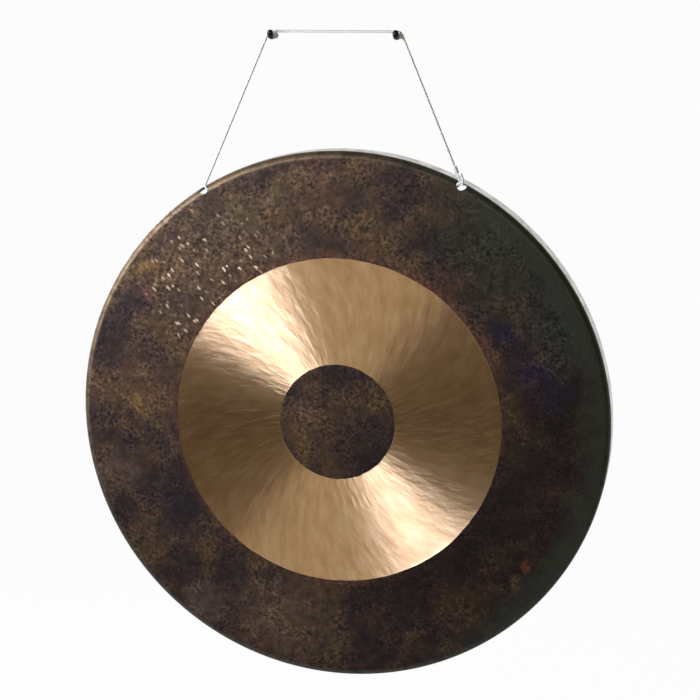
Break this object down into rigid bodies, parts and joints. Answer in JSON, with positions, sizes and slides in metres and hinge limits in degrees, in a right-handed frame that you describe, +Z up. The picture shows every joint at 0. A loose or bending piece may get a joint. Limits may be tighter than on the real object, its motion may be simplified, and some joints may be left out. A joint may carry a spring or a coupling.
{
  "type": "flat-faced hanging gong",
  "caption": "Round flat-faced bronze gong with a turned-back rim and a polished band, hung by a cord threaded through two rim holes over two hooks.",
  "frame": {"origin": "middle of the cord's level stretch between the two hooks, on the line that the cord swings about", "axes": "+Z up, -Y the way the struck face looks, +X to the right as seen from the front"},
  "size_m": [0.5999, 0.0411, 0.7302],
  "materials": {
    "hammered_bronze": "dark patina, with a lathe-scraped bright band",
    "black_steel": "satin black",
    "nylon_cord": "twisted nylon"
  },
  "bodies": {
    "hooks": {"hook_left": "black_steel", "hook_right": "black_steel"},
    "sling": {"cord": "nylon_cord", "cord_knot": "nylon_cord", "cord_tail": "nylon_cord"},
    "gong": {"gong": "hammered_bronze"}
  },
  "joints": [
    {"name": "sling_swing", "type": "hinge", "parent": "hooks", "child": "sling", "pos_m": [0, 0, 0], "axis": [1, 0, 0], "range_deg": [-30, 30]},
    {"name": "gong_swing", "type": "hinge", "parent": "sling", "child": "gong", "pos_m": [-0.0046, 0, -0.1696], "axis": [0.9994, 0, 0.0349], "range_deg": [-10, 10]}
  ]
}
